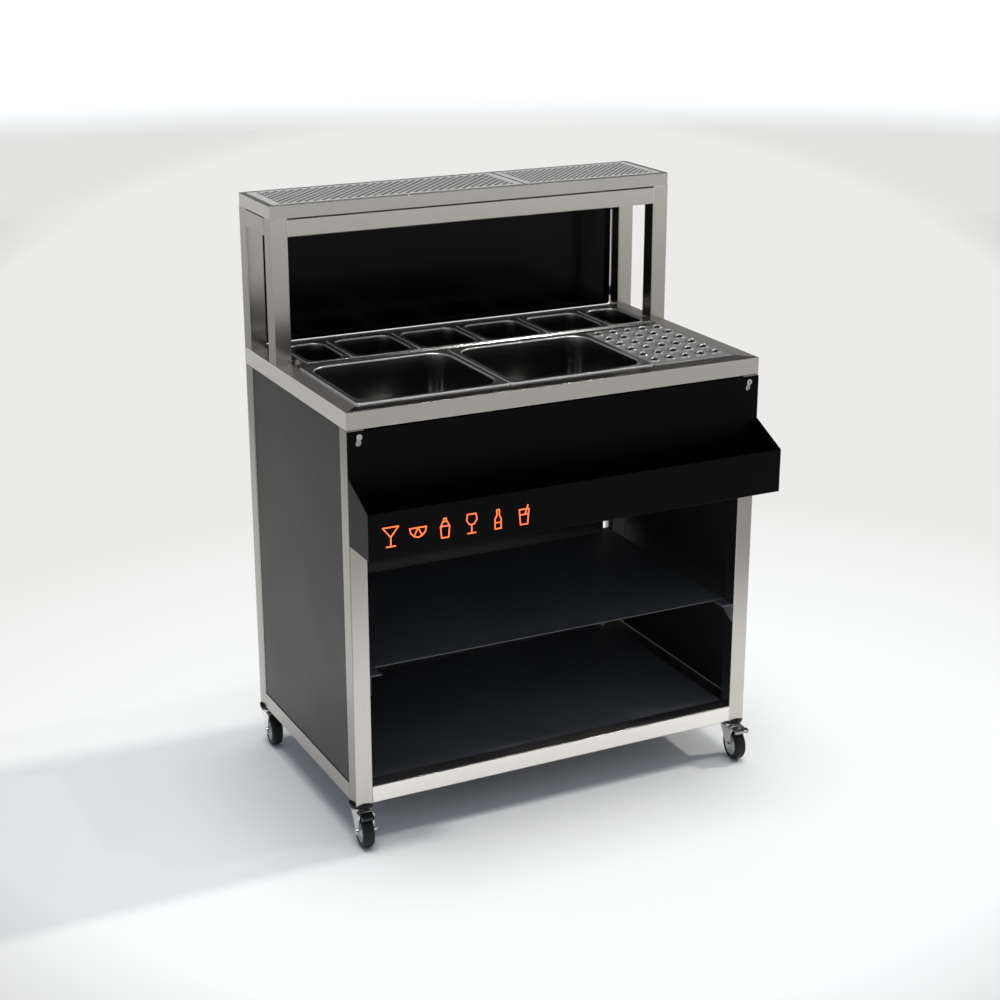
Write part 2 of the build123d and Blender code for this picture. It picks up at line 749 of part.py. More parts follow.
# Bottle rail: one folded sheet, with a sloped cheek at each end and two keyholes in its back
rail_back = front - seat
rail_front = front - rail_reach
rail_top_z = worktop_height - rail_drop_top
rail_lip_z = worktop_height - rail_drop_front
rail_bottom_z = worktop_height - rail_drop_bottom
rail_slope_z = worktop_height - rail_drop_slope
hook_z = worktop_height - hook_drop
rail_end = Plane(origin=(left, 0, 0), x_dir=(0, 1, 0), z_dir=(1, 0, 0))
with BuildPart() as bottle_rail:
    with BuildSketch(rail_end):
        with BuildLine():
            Polyline(
                (rail_back, rail_top_z),
                (rail_back, rail_bottom_z),
                (rail_front, rail_bottom_z),
                (rail_front, rail_lip_z),
                (rail_front + rail_sheet, rail_lip_z),
                (rail_front + rail_sheet, rail_bottom_z + rail_sheet),
                (rail_back - rail_sheet, rail_bottom_z + rail_sheet),
                (rail_back - rail_sheet, rail_top_z),
                close=True,
            )
        make_face()
    extrude(amount=width)
    with BuildSketch(rail_end, rail_end.offset(width - rail_sheet)):
        with BuildLine():
            Polyline(
                (rail_back, rail_bottom_z),
                (rail_back, rail_slope_z),
                (rail_front, rail_lip_z),
                (rail_front, rail_bottom_z),
                close=True,
            )
        make_face()
    extrude(amount=rail_sheet)
    bottom_edges = bottle_rail.edges().filter_by(Axis.X).group_by(Axis.Z)[0]
    fillet(bottom_edges, rail_bend)
    for side in (-1, 1):
        hook_x = side * (right - hook_inset)
        keyhole = Plane(origin=(hook_x, rail_back + overrun, hook_z), x_dir=(1, 0, 0), z_dir=(0, -1, 0))
        with BuildSketch(keyhole):
            with Locations((0, -hook_lift)):
                Circle(hook_head + keyhole_gap)
            with Locations((0, -hook_lift / 2)):
                SlotCenterToCenter(hook_lift, 2 * (hook_shank + seat), rotation=90)
        extrude(amount=rail_sheet + 2 * overrun, mode=Mode.SUBTRACT)
save(bottle_rail.part, "bottle_rail")

# Shoulder screws in the front posts, on which the rail hangs
hook_screws = []
head_back_y = rail_back - rail_sheet - seat
for side in (-1, 1):
    hook_x = side * (right - hook_inset)
    head_back = Plane(origin=(hook_x, head_back_y, hook_z), x_dir=(1, 0, 0), z_dir=(0, 1, 0))
    wall_inside = head_back.offset(2 * seat + rail_sheet + tube_wall)
    with BuildPart() as hook_screw:
        with BuildSketch(head_back):
            Circle(hook_head)
        extrude(amount=-hook_head_height)
        with BuildSketch(head_back.offset(-hook_head_height)):
            RegularPolygon(hook_socket, 6)
        extrude(amount=hook_socket_depth, mode=Mode.SUBTRACT)
        with BuildSketch(head_back):
            Circle(hook_shank)
        extrude(amount=2 * seat + rail_sheet + tube_wall + hook_inner_length)
        with BuildSketch(wall_inside):
            Circle(hook_head)
        extrude(amount=hook_head_height)
    hook_screws.append(hook_screw.part)
save(group(hook_screws), "rail_hook_screws")

# Lit line drawings on the rail's front: strokes given as shares of the drawing's height
cocktail_glass_shares = (
    ((-0.42, 1), (0.42, 1), (0, 0.48), (-0.42, 1)),
    ((0, 0.48), (0, 0)),
    ((-0.24, 0), (0.24, 0)),
)
tall_glass_shares = (
    ((-0.27, 0.8), (-0.2, 0), (0.2, 0), (0.27, 0.8), (-0.27, 0.8)),
    ((-0.24, 0.52), (0.24, 0.52)),
    ((0.05, 0.52), (0.22, 1)),
)
fruit_slice_shares = (
    ((-0.45, 0.75), (-0.39, 0.5), (-0.22, 0.32), (0, 0.25)),
    ((0, 0.25), (0.22, 0.32), (0.39, 0.5), (0.45, 0.75), (-0.45, 0.75)),
    ((0, 0.75), (-0.22, 0.32)),
    ((0, 0.75), (0.22, 0.32)),
)
shaker_shares = (
    ((-0.19, 0), (-0.25, 0.6), (0.25, 0.6), (0.19, 0), (-0.19, 0)),
    ((-0.22, 0.6), (-0.12, 0.84), (0.12, 0.84), (0.22, 0.6)),
    ((-0.07, 0.84), (-0.07, 1), (0.07, 1), (0.07, 0.84)),
)
stem_glass_shares = (
    ((-0.24, 1), (-0.28, 0.68), (-0.14, 0.48), (0, 0.44), (0.14, 0.48), (0.28, 0.68), (0.24, 1), (-0.24, 1)),
    ((0, 0.44), (0, 0)),
    ((-0.22, 0), (0.22, 0)),
)
bottle_shares = (
    ((-0.17, 0), (-0.17, 0.52), (-0.07, 0.7), (-0.07, 1), (0.07, 1)),
    ((0.07, 1), (0.07, 0.7), (0.17, 0.52), (0.17, 0), (-0.17, 0)),
    ((-0.17, 0.32), (0.17, 0.32)),
)
drawings = (
    cocktail_glass_shares,
    fruit_slice_shares,
    shaker_shares,
    stem_glass_shares,
    bottle_shares,
    tall_glass_shares,
)
stroke_room = motif_height - motif_stroke
lit_drawings = []
for index, drawing in enumerate(drawings):
    drawing_plane = Plane(
        origin=(
            left + motif_start + (index + 1 / 2) * motif_cell,
            rail_front,
            worktop_height - motif_drop - motif_height + motif_stroke / 2,
        ),
        x_dir=(1, 0, 0),
        z_dir=(0, -1, 0),
    )
    with BuildPart() as line_drawing:
        with BuildSketch(drawing_plane):
            for stroke in drawing:
                for (start_x, start_z), (end_x, end_z) in zip(stroke, stroke[1:]):
                    run = (end_x - start_x) * stroke_room
                    climb = (end_z - start_z) * stroke_room
                    slope = degrees(atan2(climb, run))
                    middle = ((start_x + end_x) / 2 * stroke_room, (start_z + end_z) / 2 * stroke_room)
                    with Locations(middle):
                        SlotCenterToCenter(hypot(run, climb), motif_stroke, rotation=slope)
        extrude(amount=motif_relief)
    lit_drawings.append(line_drawing.part)
save(group(lit_drawings), "lit_motif")

# Caster stems: cap, kingpin and threaded stem in one piece, which stays still with the frame
caster_front_z = fork_top + seat + race_height
kingpin_head_top = fork_top - fork_sheet - seat
with BuildPart() as caster_stem:
    with BuildSketch(Plane.XZ):
        with BuildLine():
            Polyline(
                (0, kingpin_head_top - kingpin_head_height),
                (kingpin_head, kingpin_head_top - kingpin_head_height),
                (kingpin_head, kingpin_head_top),
                (kingpin_radius, kingpin_head_top),
                (kingpin_radius, caster_front_z),
                (cap_radius, caster_front_z),
                (cap_radius, caster_height),
                (stem_radius, caster_height),
                (stem_radius, caster_height + plug_height),
                (0, caster_height + plug_height),
                close=True,
            )
        make_face()
    revolve(axis=Axis.Z, revolution_arc=360)
    cap_edges = caster_stem.edges().filter_by(GeomType.CIRCLE).sort_by(SortBy.RADIUS)[-2:]
    fillet(cap_edges.sort_by(Axis.Z)[0], cap_round)
caster_places = {name: Location((x, y, 0), (0, 0, caster_rest_angle)) for name, (x, y) in corners.items()}
save(group([caster_stem.part.moved(place) for place in caster_places.values()]), "caster_stems")

# Swivel races under the caps
with BuildPart() as swivel_race:
    with BuildSketch(Plane.XY.offset(caster_front_z)):
        Circle(race_radius)
        Circle(kingpin_radius + kingpin_fit, mode=Mode.SUBTRACT)
    extrude(amount=-race_height)
save(group([swivel_race.part.moved(place) for place in caster_places.values()]), "swivel_races")

# Across a wheel: the cheeks stand outside the tyre, and the axle's ends outside the cheeks
cheek_inside = tyre_width / 2 + fork_gap
cheek_outside = cheek_inside + fork_sheet
axle_centre = (-trail, wheel_radius)
pedal_pin_z = fork_top - pedal_pin_drop


def side_plane_at(x):
    """A plane across the wheel, with the caster's Y and Z as its own directions."""
    return Plane(origin=(x, 0, 0), x_dir=(0, 1, 0), z_dir=(1, 0, 0))


def caster_fork(crown_reach, has_pedal, has_cone):
    """A fork with its riveted axle, and the pin of its brake pedal where it has one."""
    with BuildPart() as fork:
        for cheek_x in (-cheek_outside, cheek_inside):
            with BuildSketch(side_plane_at(cheek_x)):
                with Locations(axle_centre):
                    Circle(fork_boss)
                with Locations(((fork_rear - fork_front) / 2, fork_top - fork_shoulder / 2)):
                    Rectangle(fork_rear + fork_front, fork_shoulder)
                make_hull()
            extrude(amount=fork_sheet)
        with BuildSketch(Plane((0, (fork_rear - crown_reach) / 2, fork_top - fork_sheet))):
            Rectangle(2 * cheek_outside, fork_rear + crown_reach)
        extrude(amount=fork_sheet)
        top_edges = fork.edges().filter_by(Axis.Y).group_by(Axis.Z)[-1]
        outer_edges = top_edges.group_by(Axis.X)[0] + top_edges.group_by(Axis.X)[-1]
        chamfer(outer_edges, fork_shoulder)
        with BuildSketch(Plane.XY.offset(fork_top - fork_sheet)):
            Circle(fork_disc)
        extrude(amount=fork_sheet)
        with BuildSketch(Plane.XY.offset(fork_top)):
            Circle(kingpin_radius + kingpin_fit)
        extrude(amount=-fork_sheet, mode=Mode.SUBTRACT)
        with BuildSketch(side_plane_at(-cheek_outside)):
            with Locations(axle_centre):
                Circle(axle_radius + axle_fit)
        extrude(amount=2 * cheek_outside, mode=Mode.SUBTRACT)
        if has_pedal:
            with BuildSketch(side_plane_at(-cheek_outside)):
                with Locations((-pedal_pin_forward, pedal_pin_z)):
                    Circle(pedal_pin_radius)
            extrude(amount=2 * cheek_outside)
    with BuildPart() as axle:
        with BuildSketch(side_plane_at(-cheek_outside)):
            with Locations(axle_centre):
                Circle(axle_radius)
        extrude(amount=2 * cheek_outside)
        with BuildSketch(side_plane_at(-cheek_outside)):
            with Locations(axle_centre):
                Circle(axle_head)
        extrude(amount=-axle_head_height)
        with BuildSketch(side_plane_at(cheek_outside)):
            with Locations(axle_centre):
                Circle(axle_cone if has_cone else axle_head)
        if has_cone:
            with BuildSketch(side_plane_at(cheek_outside + axle_cone_length)):
                with Locations(axle_centre):
                    Circle(axle_cone_tip)
            loft()
        else:
            extrude(amount=axle_head_height)
    return group([fork.part, axle.part])


# Wheel hub on the axle, with a rim and a boss that stand proud of its web
with BuildPart() as wheel_hub:
    with BuildSketch(Plane.XY):
        with BuildLine():
            Polyline(
                (-cheek_inside + hub_boss_gap, axle_radius + axle_fit),
                (-cheek_inside + hub_boss_gap, hub_boss),
                (-hub_width / 2 + hub_recess, hub_boss),
                (-hub_width / 2 + hub_recess, hub_radius - hub_rim),
                (-hub_width / 2, hub_radius - hub_rim),
                (-hub_width / 2, hub_radius),
                (hub_width / 2, hub_radius),
                (hub_width / 2, hub_radius - hub_rim),
                (hub_width / 2 - hub_recess, hub_radius - hub_rim),
                (hub_width / 2 - hub_recess, hub_boss),
                (cheek_inside - hub_boss_gap, hub_boss),
                (cheek_inside - hub_boss_gap, axle_radius + axle_fit),
                close=True,
            )
        make_face()
    revolve(axis=Axis.X, revolution_arc=360)

# Tyre with rounded shoulders
with BuildPart() as tyre:
    with BuildSketch(Plane.YZ.offset(-tyre_width / 2)):
        Circle(wheel_radius)
        Circle(hub_radius + hub_fit, mode=Mode.SUBTRACT)
    extrude(amount=tyre_width)
    fillet(tyre.edges().filter_by(GeomType.CIRCLE).sort_by(SortBy.RADIUS)[-2:], tyre_round)


def brake_pedal(wing):
    """A pedal that pivots on its pin: a sleeve, a tread and a lip, widened in front of the fork by a wing."""
    half_width = cheek_inside - pedal_side_gap
    tread_top = pedal_pin_z + pedal_hub
    tread_under = tread_top - pedal_sheet
    wing_rear = -fork_front - pedal_wing_gap
    with BuildPart() as pedal:
        with BuildSketch(side_plane_at(-half_width)):
            with Locations((-pedal_pin_forward, pedal_pin_z)):
                Circle(pedal_hub)
        extrude(amount=2 * half_width)
        with BuildSketch(Plane((0, -(pedal_pin_forward + pedal_front) / 2, tread_under))):
            Rectangle(2 * half_width, pedal_front - pedal_pin_forward)
        extrude(amount=pedal_sheet)
        lip_right = half_width + wing
        with BuildSketch(Plane(((lip_right - half_width) / 2, (wing_rear - pedal_front) / 2, tread_under))):
            Rectangle(lip_right + half_width, wing_rear + pedal_front)
        extrude(amount=pedal_sheet)
        with BuildSketch(Plane(((lip_right - half_width) / 2, -pedal_front + pedal_sheet / 2, tread_under))):
            Rectangle(lip_right + half_width, pedal_sheet)
        extrude(amount=-pedal_lip)
        front_top_edge = pedal.edges().filter_by(Axis.X).group_by(Axis.Y)[0].sort_by(Axis.Z)[-1]
        fillet(front_top_edge, pedal_round)
        with BuildSketch(side_plane_at(-half_width)):
            with Locations((-pedal_pin_forward, pedal_pin_z)):
                Circle(pedal_pin_radius + axle_fit)
        extrude(amount=2 * half_width, mode=Mode.SUBTRACT)
    return pedal.part.rotate(Axis((0, -pedal_pin_forward, pedal_pin_z), (1, 0, 0)), pedal_slope)


# Four casters, trailing towards the front, with brake pedals on the front pair
axle_place = Location((0, -trail, wheel_radius))
for corner, place in caster_places.items():
    has_pedal = corner.startswith("front")
    crown_reach = crown_front if has_pedal else crown_front_plain
    fork_and_axle = caster_fork(crown_reach, has_pedal, corner == "front_left")
    save(fork_and_axle.moved(place), f"caster_fork_{corner}")
    save(wheel_hub.part.moved(place * axle_place), f"wheel_hub_{corner}")
    save(tyre.part.moved(place * axle_place), f"tyre_{corner}")
for side_name, wing in (("left", 0), ("right", pedal_wing)):
    save(brake_pedal(wing).moved(caster_places[f"front_{side_name}"]), f"brake_pedal_{side_name}")
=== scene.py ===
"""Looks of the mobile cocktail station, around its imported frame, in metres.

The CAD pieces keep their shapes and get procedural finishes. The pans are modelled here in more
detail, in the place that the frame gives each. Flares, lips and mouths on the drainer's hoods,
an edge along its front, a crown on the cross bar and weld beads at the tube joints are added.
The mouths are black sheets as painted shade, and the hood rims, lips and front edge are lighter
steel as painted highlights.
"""

import math

import bpy
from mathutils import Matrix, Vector


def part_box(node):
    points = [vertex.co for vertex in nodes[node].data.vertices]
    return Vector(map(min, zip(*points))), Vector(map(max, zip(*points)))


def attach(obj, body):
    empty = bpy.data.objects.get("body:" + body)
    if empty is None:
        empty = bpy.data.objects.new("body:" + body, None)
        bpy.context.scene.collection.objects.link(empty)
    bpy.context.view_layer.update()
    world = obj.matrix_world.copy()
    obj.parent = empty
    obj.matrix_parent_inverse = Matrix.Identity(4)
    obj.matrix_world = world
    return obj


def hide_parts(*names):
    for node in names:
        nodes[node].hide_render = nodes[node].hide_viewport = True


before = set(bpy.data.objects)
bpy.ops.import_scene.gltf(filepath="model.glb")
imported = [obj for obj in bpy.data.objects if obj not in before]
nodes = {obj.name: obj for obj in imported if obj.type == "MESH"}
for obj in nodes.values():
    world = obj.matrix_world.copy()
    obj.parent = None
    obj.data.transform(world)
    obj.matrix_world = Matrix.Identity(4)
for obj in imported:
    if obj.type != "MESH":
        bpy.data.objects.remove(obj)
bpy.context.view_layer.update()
MM = 0.001

corner_names = ("front_left", "front_right", "rear_left", "rear_right")
pan_nodes = ["large_pan_left", "large_pan_right"] + [f"small_pan_{number}" for number in range(1, 7)]


# Shader helpers
class Finish:
    """A material with one Principled shader, and short ways to wire textures into it."""

    def __init__(self, name, color, roughness, metallic=0.0, **sockets):
        self.material = bpy.data.materials.new(name)
        self.material.use_nodes = True
        self.tree = self.material.node_tree
        self.shader = self.tree.nodes["Principled BSDF"]
        self.set("Base Color", (*color, 1.0))
        self.set("Roughness", roughness)
        self.set("Metallic", metallic)
        for socket, value in sockets.items():
            self.set(socket.replace("_", " "), value)
        self.coords = self.tree.nodes.new("ShaderNodeTexCoord").outputs["Object"]

    def set(self, socket, value):
        self.shader.inputs[socket].default_value = value

    def link(self, output, socket):
        self.tree.links.new(output, socket)

    def stretched(self, scale):
        """Object coordinates, each axis times its own scale."""
        mapping = self.tree.nodes.new("ShaderNodeMapping")
        mapping.inputs["Scale"].default_value = scale
        self.link(self.coords, mapping.inputs["Vector"])
        return mapping.outputs["Vector"]

    def noise(self, scale, detail):
        """Noise between 0 and 1, stretched along the axes with a small scale."""
        texture = self.tree.nodes.new("ShaderNodeTexNoise")
        texture.inputs["Scale"].default_value = 1.0
        texture.inputs["Detail"].default_value = detail
        texture.inputs["Roughness"].default_value = 0.55
        self.link(self.stretched(scale), texture.inputs["Vector"])
        return texture.outputs["Fac"]

    def spread(self, value, low, high, start=0.3, end=0.7):
        """A value from start to end, mapped to low to high."""
        node = self.tree.nodes.new("ShaderNodeMapRange")
        for socket, number in (("From Min", start), ("From Max", end), ("To Min", low), ("To Max", high)):
            node.inputs[socket].default_value = number
        self.link(value, node.inputs["Value"])
        return node.outputs["Result"]

    def math(self, operation, first, second):
        node = self.tree.nodes.new("ShaderNodeMath")
        node.operation = operation
        for socket, value in zip(node.inputs, (first, second)):
            if isinstance(value, (int, float)):
                socket.default_value = value
            else:
                self.link(value, socket)
        return node.outputs["Value"]

    def blend(self, value, dark, light):
        """A colour between dark and light."""
        ramp = self.tree.nodes.new("ShaderNodeValToRGB")
        ramp.color_ramp.elements[0].color = (*dark, 1.0)
        ramp.color_ramp.elements[1].color = (*light, 1.0)
        self.link(value, ramp.inputs["Fac"])
        return ramp.outputs["Color"]

    def mix(self, factor, first, second):
        """The first colour where the factor is 0, and the second where it is 1."""
        node = self.tree.nodes.new("ShaderNodeMix")
        node.data_type = "RGBA"
        self.link(factor, node.inputs["Factor"])
        for socket, value in (("A", first), ("B", second)):
            if isinstance(value, tuple):
                node.inputs[socket].default_value = (*value, 1.0)
            else:
                self.link(value, node.inputs[socket])
        return node.outputs["Result"]

    def facing(self, axis):
        """How squarely a face looks along an axis, from 0 to 1."""
        normal = self.tree.nodes.new("ShaderNodeSeparateXYZ")
        self.link(self.tree.nodes["Texture Coordinate"].outputs["Normal"], normal.inputs["Vector"])
        return self.math("ABSOLUTE", normal.outputs[axis], 0.0)

    def color(self, value, dark, light):
        self.link(self.blend(value, dark, light), self.shader.inputs["Base Color"])

    def roughness(self, value, low, high):
        self.link(self.spread(value, low, high), self.shader.inputs["Roughness"])

    def bump(self, value, depth):
        node = self.tree.nodes.new("ShaderNodeBump")
        node.inputs["Strength"].default_value = 1.0
        node.inputs["Distance"].default_value = depth
        self.link(value, node.inputs["Height"])
        self.link(node.outputs["Normal"], self.shader.inputs["Normal"])


def shaded(color, share):
    return tuple(channel * share for channel in color)


# Scales of the noise in brushed metal, per metre
scratches_across, scratches_along = 1400.0, 9.0
bands_across, bands_along = 60.0, 1.2
clouds_scale = 5.0


def brushed(
    name,
    color,
    roughness,
    along,
    depth=0.000001,
    contrast=0.012,
    metallic=0.97,
    painted_side_shade=1.0,
    top=1.0,
):
    """Satin metal with fine scratches along one axis, or along none.

    The side and top shares are the shares of the colour on the faces that look along X and up: painted shade
    on those faces.
    """
    finish = Finish(name, color, roughness, metallic=metallic)
    fine = [scratches_along if axis == along else scratches_across for axis in "xyz"]
    broad = [bands_along if axis == along else bands_across for axis in "xyz"]
    scratches = finish.noise(fine, detail=2.0)
    bands = finish.noise(broad, detail=4.0)
    clouds = finish.noise([clouds_scale] * 3, detail=3.0)
    mixed = finish.math("ADD", finish.math("MULTIPLY", scratches, 0.5), finish.math("MULTIPLY", bands, 0.5))
    sharpened = finish.spread(mixed, 0.0, 1.0, start=0.35, end=0.65)
    grain = finish.blend(sharpened, shaded(color, 1 - contrast), shaded(color, 1 + contrast))
    # Painted shade: faces that look along X, or up, get a darker copy of the colour.
    for axis, share in (("X", painted_side_shade), ("Z", top)):
        if share != 1.0:
            painted_shade_mask = finish.spread(finish.facing(axis), 0.0, 1.0, start=0.5, end=0.9)
            grain = finish.mix(painted_shade_mask, grain, shaded(color, share))
    finish.link(grain, finish.shader.inputs["Base Color"])
    worn = finish.math("ADD", finish.math("MULTIPLY", mixed, 0.6), finish.math("MULTIPLY", clouds, 0.4))
    finish.roughness(worn, roughness * 0.93, roughness * 1.08)
    finish.bump(scratches, depth)
    return finish.material


def coated(name, color, roughness, grain=900.0, depth=0.00002, cloud=0.12, gloss=0.5):
    """Powder coat: a fine orange peel and a faint unevenness in its gloss."""
    finish = Finish(name, color, roughness, Specular_IOR_Level=gloss)
    peel = finish.noise([grain] * 3, detail=2.0)
    clouds = finish.noise([4.0] * 3, detail=4.0)
    finish.color(finish.spread(clouds, 0.0, 1.0), shaded(color, 0.85), shaded(color, 1.2))
    finish.roughness(clouds, roughness * (1 - cloud), roughness * (1 + cloud))
    finish.bump(peel, depth)
    return finish.material


def punched(name, color, roughness):
    """Satin plate whose hole walls get painted shade: faces that don't look up are near black."""
    finish = Finish(name, color, roughness, metallic=0.25)
    # Painted shade in the holes: faces that don't look up are near black.
    level = finish.spread(finish.facing("Z"), 0.0, 1.0, start=0.78, end=0.95)
    finish.color(level, shaded(color, 0.01), color)
    scratches = finish.noise((scratches_along, scratches_across, scratches_across), detail=2.0)
    finish.roughness(scratches, roughness * 0.88, roughness * 1.14)
    finish.bump(scratches, 0.000006)
    return finish.material


# Colour and roughness of each finish. The frame's steel is brushed along its tubes.
steel_colors = {"x": (0.585, 0.56, 0.527), "y": (0.56, 0.532, 0.496), "z": (0.58, 0.552, 0.515)}
# Painted shade on the faces of the posts and short rails that look along X.
steel_painted_side_shade = {"x": 1.0, "y": 0.72, "z": 0.66}
steel = {
    axis: brushed(f"frame_steel_{axis}", color, 0.2, axis, painted_side_shade=steel_painted_side_shade[axis])
    for axis, color in steel_colors.items()
}
# Painted light and shade: the worktop rails, base rails and worktop side rails are lighter copies of the
# frame steel and the top rim a darker one; the worktop front rails' tops get painted shade.
worktop_front_lit_steel = brushed("worktop_front_steel", (0.735, 0.703, 0.665), 0.2, "x", top=0.42)
base_rail_lit_steel = brushed("base_rail_steel", (0.87, 0.84, 0.8), 0.2, "x")
worktop_side_lit_steel = brushed("worktop_side_steel", (0.86, 0.83, 0.79), 0.24, "y", metallic=0.9)
top_rim_shaded_steel = brushed("top_rim_steel", (0.53, 0.513, 0.49), 0.22, "x")
cross_bar_steel = brushed("cross_bar_steel", (0.72, 0.71, 0.69), 0.12, "x", depth=0.0000005)
crown_steel = Finish("crown_steel", (0.08, 0.079, 0.077), 0.14, metallic=1.0).material
# Painted shade and highlights: the pans' steel is darker in the bowls and drip tray, lighter on the flanges,
# and lightest on rounded edges and on the drainer's hood rims, lips and front edge.
pan_steel = brushed("pan_steel", (0.34, 0.335, 0.33), 0.17, "z", contrast=0.02, metallic=1.0)
pan_rim_lit_steel = brushed("pan_rim_steel", (0.7, 0.7, 0.69), 0.17, "x", contrast=0.015, metallic=0.94)
edge_highlight_steel = brushed("pan_edge_steel", (0.9, 0.9, 0.89), 0.2, "", contrast=0.01, metallic=0.7)
drainer_steel = brushed("drainer_steel", (0.56, 0.555, 0.55), 0.34, "x", metallic=0.8)
grille_steel = punched("grille_steel", (0.7, 0.69, 0.67), 0.32)
weld_steel = brushed("weld_steel", (0.85, 0.84, 0.82), 0.3, "", metallic=0.85)
chrome = brushed("caster_chrome", (0.82, 0.82, 0.81), 0.14, "", depth=0.000004, contrast=0.02)
pedal_steel = brushed("pedal_steel", (0.42, 0.41, 0.39), 0.2, "x")
screw_steel = brushed("screw_steel", (0.76, 0.75, 0.72), 0.22, "", contrast=0.05)
gloss_black = coated("gloss_black", (0.002, 0.002, 0.0024), 0.14, grain=300.0, depth=0.000004, gloss=0.12)
side_black = coated("side_black", (0.027, 0.0255, 0.0235), 0.36, gloss=0.2)
rear_black = coated("rear_black", (0.05, 0.0495, 0.049), 0.4, gloss=0.2)
# Painted light: the shelves' black is much lighter than the other blacks.
shelf_black = coated("shelf_black", (0.15, 0.148, 0.156), 0.42, gloss=0.15)
rail_black = coated("rail_black", (0.0022, 0.0022, 0.0026), 0.33, gloss=0.08)
plastic_black = coated("black_plastic", (0.009, 0.009, 0.0095), 0.42, grain=1500.0, gloss=0.3)
pedal_black = coated("pedal_black", (0.006, 0.006, 0.007), 0.2, gloss=0.5)
hub_plastic = coated("hub_plastic", (0.76, 0.755, 0.74), 0.3)
tyre_rubber = coated("tyre_rubber", (0.009, 0.009, 0.0095), 0.5, grain=1200.0, depth=0.00006, gloss=0.3)


def lit_finish():
    """Orange glow of the lit line drawings, a little hotter in patches."""
    finish = Finish("lit_orange", (0.9, 0.12, 0.03), 0.4)
    patches = finish.noise([60.0] * 3, detail=2.0)
    glow = finish.blend(patches, (1.0, 0.1, 0.02), (1.0, 0.22, 0.07))
    finish.link(glow, finish.shader.inputs["Emission Color"])
    finish.set("Emission Strength", 1.6)
    return finish.material


lit_orange = lit_finish()

# Finish of each CAD node
finishes = {
    "post_plugs": plastic_black,
    "base_rails_long": base_rail_lit_steel,
    "base_rails_short": steel["y"],
    "worktop_rails_long": worktop_front_lit_steel,
    "worktop_rails_short": worktop_side_lit_steel,
    "pan_cross_bar": cross_bar_steel,
    "pan_ledges": steel["x"],
    "pan_dividers": steel["y"],
    "drip_tray": pan_steel,
    "drainer_plate": drainer_steel,
    "overshelf_bars_long": steel["x"],
    "overshelf_bars_short": steel["y"],
    "top_rim": top_rim_shaded_steel,
    "grille_left": grille_steel,
    "grille_right": grille_steel,
    "upper_panel": gloss_black,
    "side_panel_left": side_black,
    "side_panel_right": side_black,
    "rear_panel": rear_black,
    "floor_panel": shelf_black,
    "floor_supports": steel["x"],
    "middle_shelf": shelf_black,
    "shelf_brackets": shelf_black,
    "panel_tabs": steel["z"],
    "panel_fixings": screw_steel,
    "bottle_rail": rail_black,
    "rail_hook_screws": screw_steel,
    "lit_motif": lit_orange,
    "caster_stems": plastic_black,
    "swivel_races": chrome,
    "brake_pedal_left": pedal_black,
    "brake_pedal_right": pedal_steel,
}
for pan_node in pan_nodes:
    finishes[pan_node] = pan_steel
for corner in corner_names:
    finishes[f"cabinet_post_{corner}"] = steel["z"]
    finishes[f"overshelf_post_{corner}"] = steel["z"]
    finishes[f"caster_fork_{corner}"] = chrome
    finishes[f"wheel_hub_{corner}"] = hub_plastic
    finishes[f"tyre_{corner}"] = tyre_rubber
for node, finish in finishes.items():
    for material_slot in nodes[node].material_slots:
        material_slot.link = "OBJECT"
        material_slot.material = finish

# Perforated plates: the edges of their holes are softened
same_point = 0.01 * MM
hole_edge = 0.4 * MM
hole_edge_angle = math.radians(40)
for node in ("grille_left", "grille_right"):
    joined = nodes[node].modifiers.new("joined", "WELD")
    joined.merge_threshold = same_point
    rounded = nodes[node].modifiers.new("rounded", "BEVEL")
    rounded.width = hole_edge
    rounded.segments = 1
    rounded.limit_method = "ANGLE"
    rounded.angle_limit = hole_edge_angle
    rounded.harden_normals = True


def new_piece(name, verts, faces, material, body, smooth=None):
    """A mesh piece that rides on a body. Faces meeting at less than the smooth angle are shaded as one."""
    mesh = bpy.data.meshes.new(name)
    mesh.from_pydata(verts, [], faces)
    mesh.update()
    piece = bpy.data.objects.new(name, mesh)
    bpy.context.scene.collection.objects.link(piece)
    mesh.materials.append(material)
    if smooth:
        mesh.shade_smooth()
        mesh.set_sharp_from_angle(angle=math.radians(smooth))
    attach(piece, body)
    return piece


def rounded_ring(half_x, half_y, radius, z, steps):
    """Points round a rounded rectangle about the origin, counter-clockwise seen from above."""
    points = []
    for quarter, (sign_x, sign_y) in enumerate(((1, 1), (-1, 1), (-1, -1), (1, -1))):
        for step in range(steps + 1):
            angle = (quarter + step / steps) * math.pi / 2
            x = sign_x * (half_x - radius) + radius * math.cos(angle)
            y = sign_y * (half_y - radius) + radius * math.sin(angle)
            points.append((x, y, z))
    return points


# Pans: one shell of rings, from the lip over the flange and down into the bowl, and back outside
pan_sheet = 1.2 * MM
pan_taper = math.tan(math.radians(3.0))
pan_lip = 6.0 * MM
pan_lip_corner = 7.0 * MM
pan_lip_round = 1.1 * MM
pan_dish = 0.35 * MM
pan_mouth_round = 3.2 * MM
pan_corner_steps = 10
pan_least_corner = 1.0 * MM
pan_under_lip = 2.4 * MM
pan_under_flange = 1.8 * MM
pan_rim_depth = 3.6 * MM
level_normal = 0.93


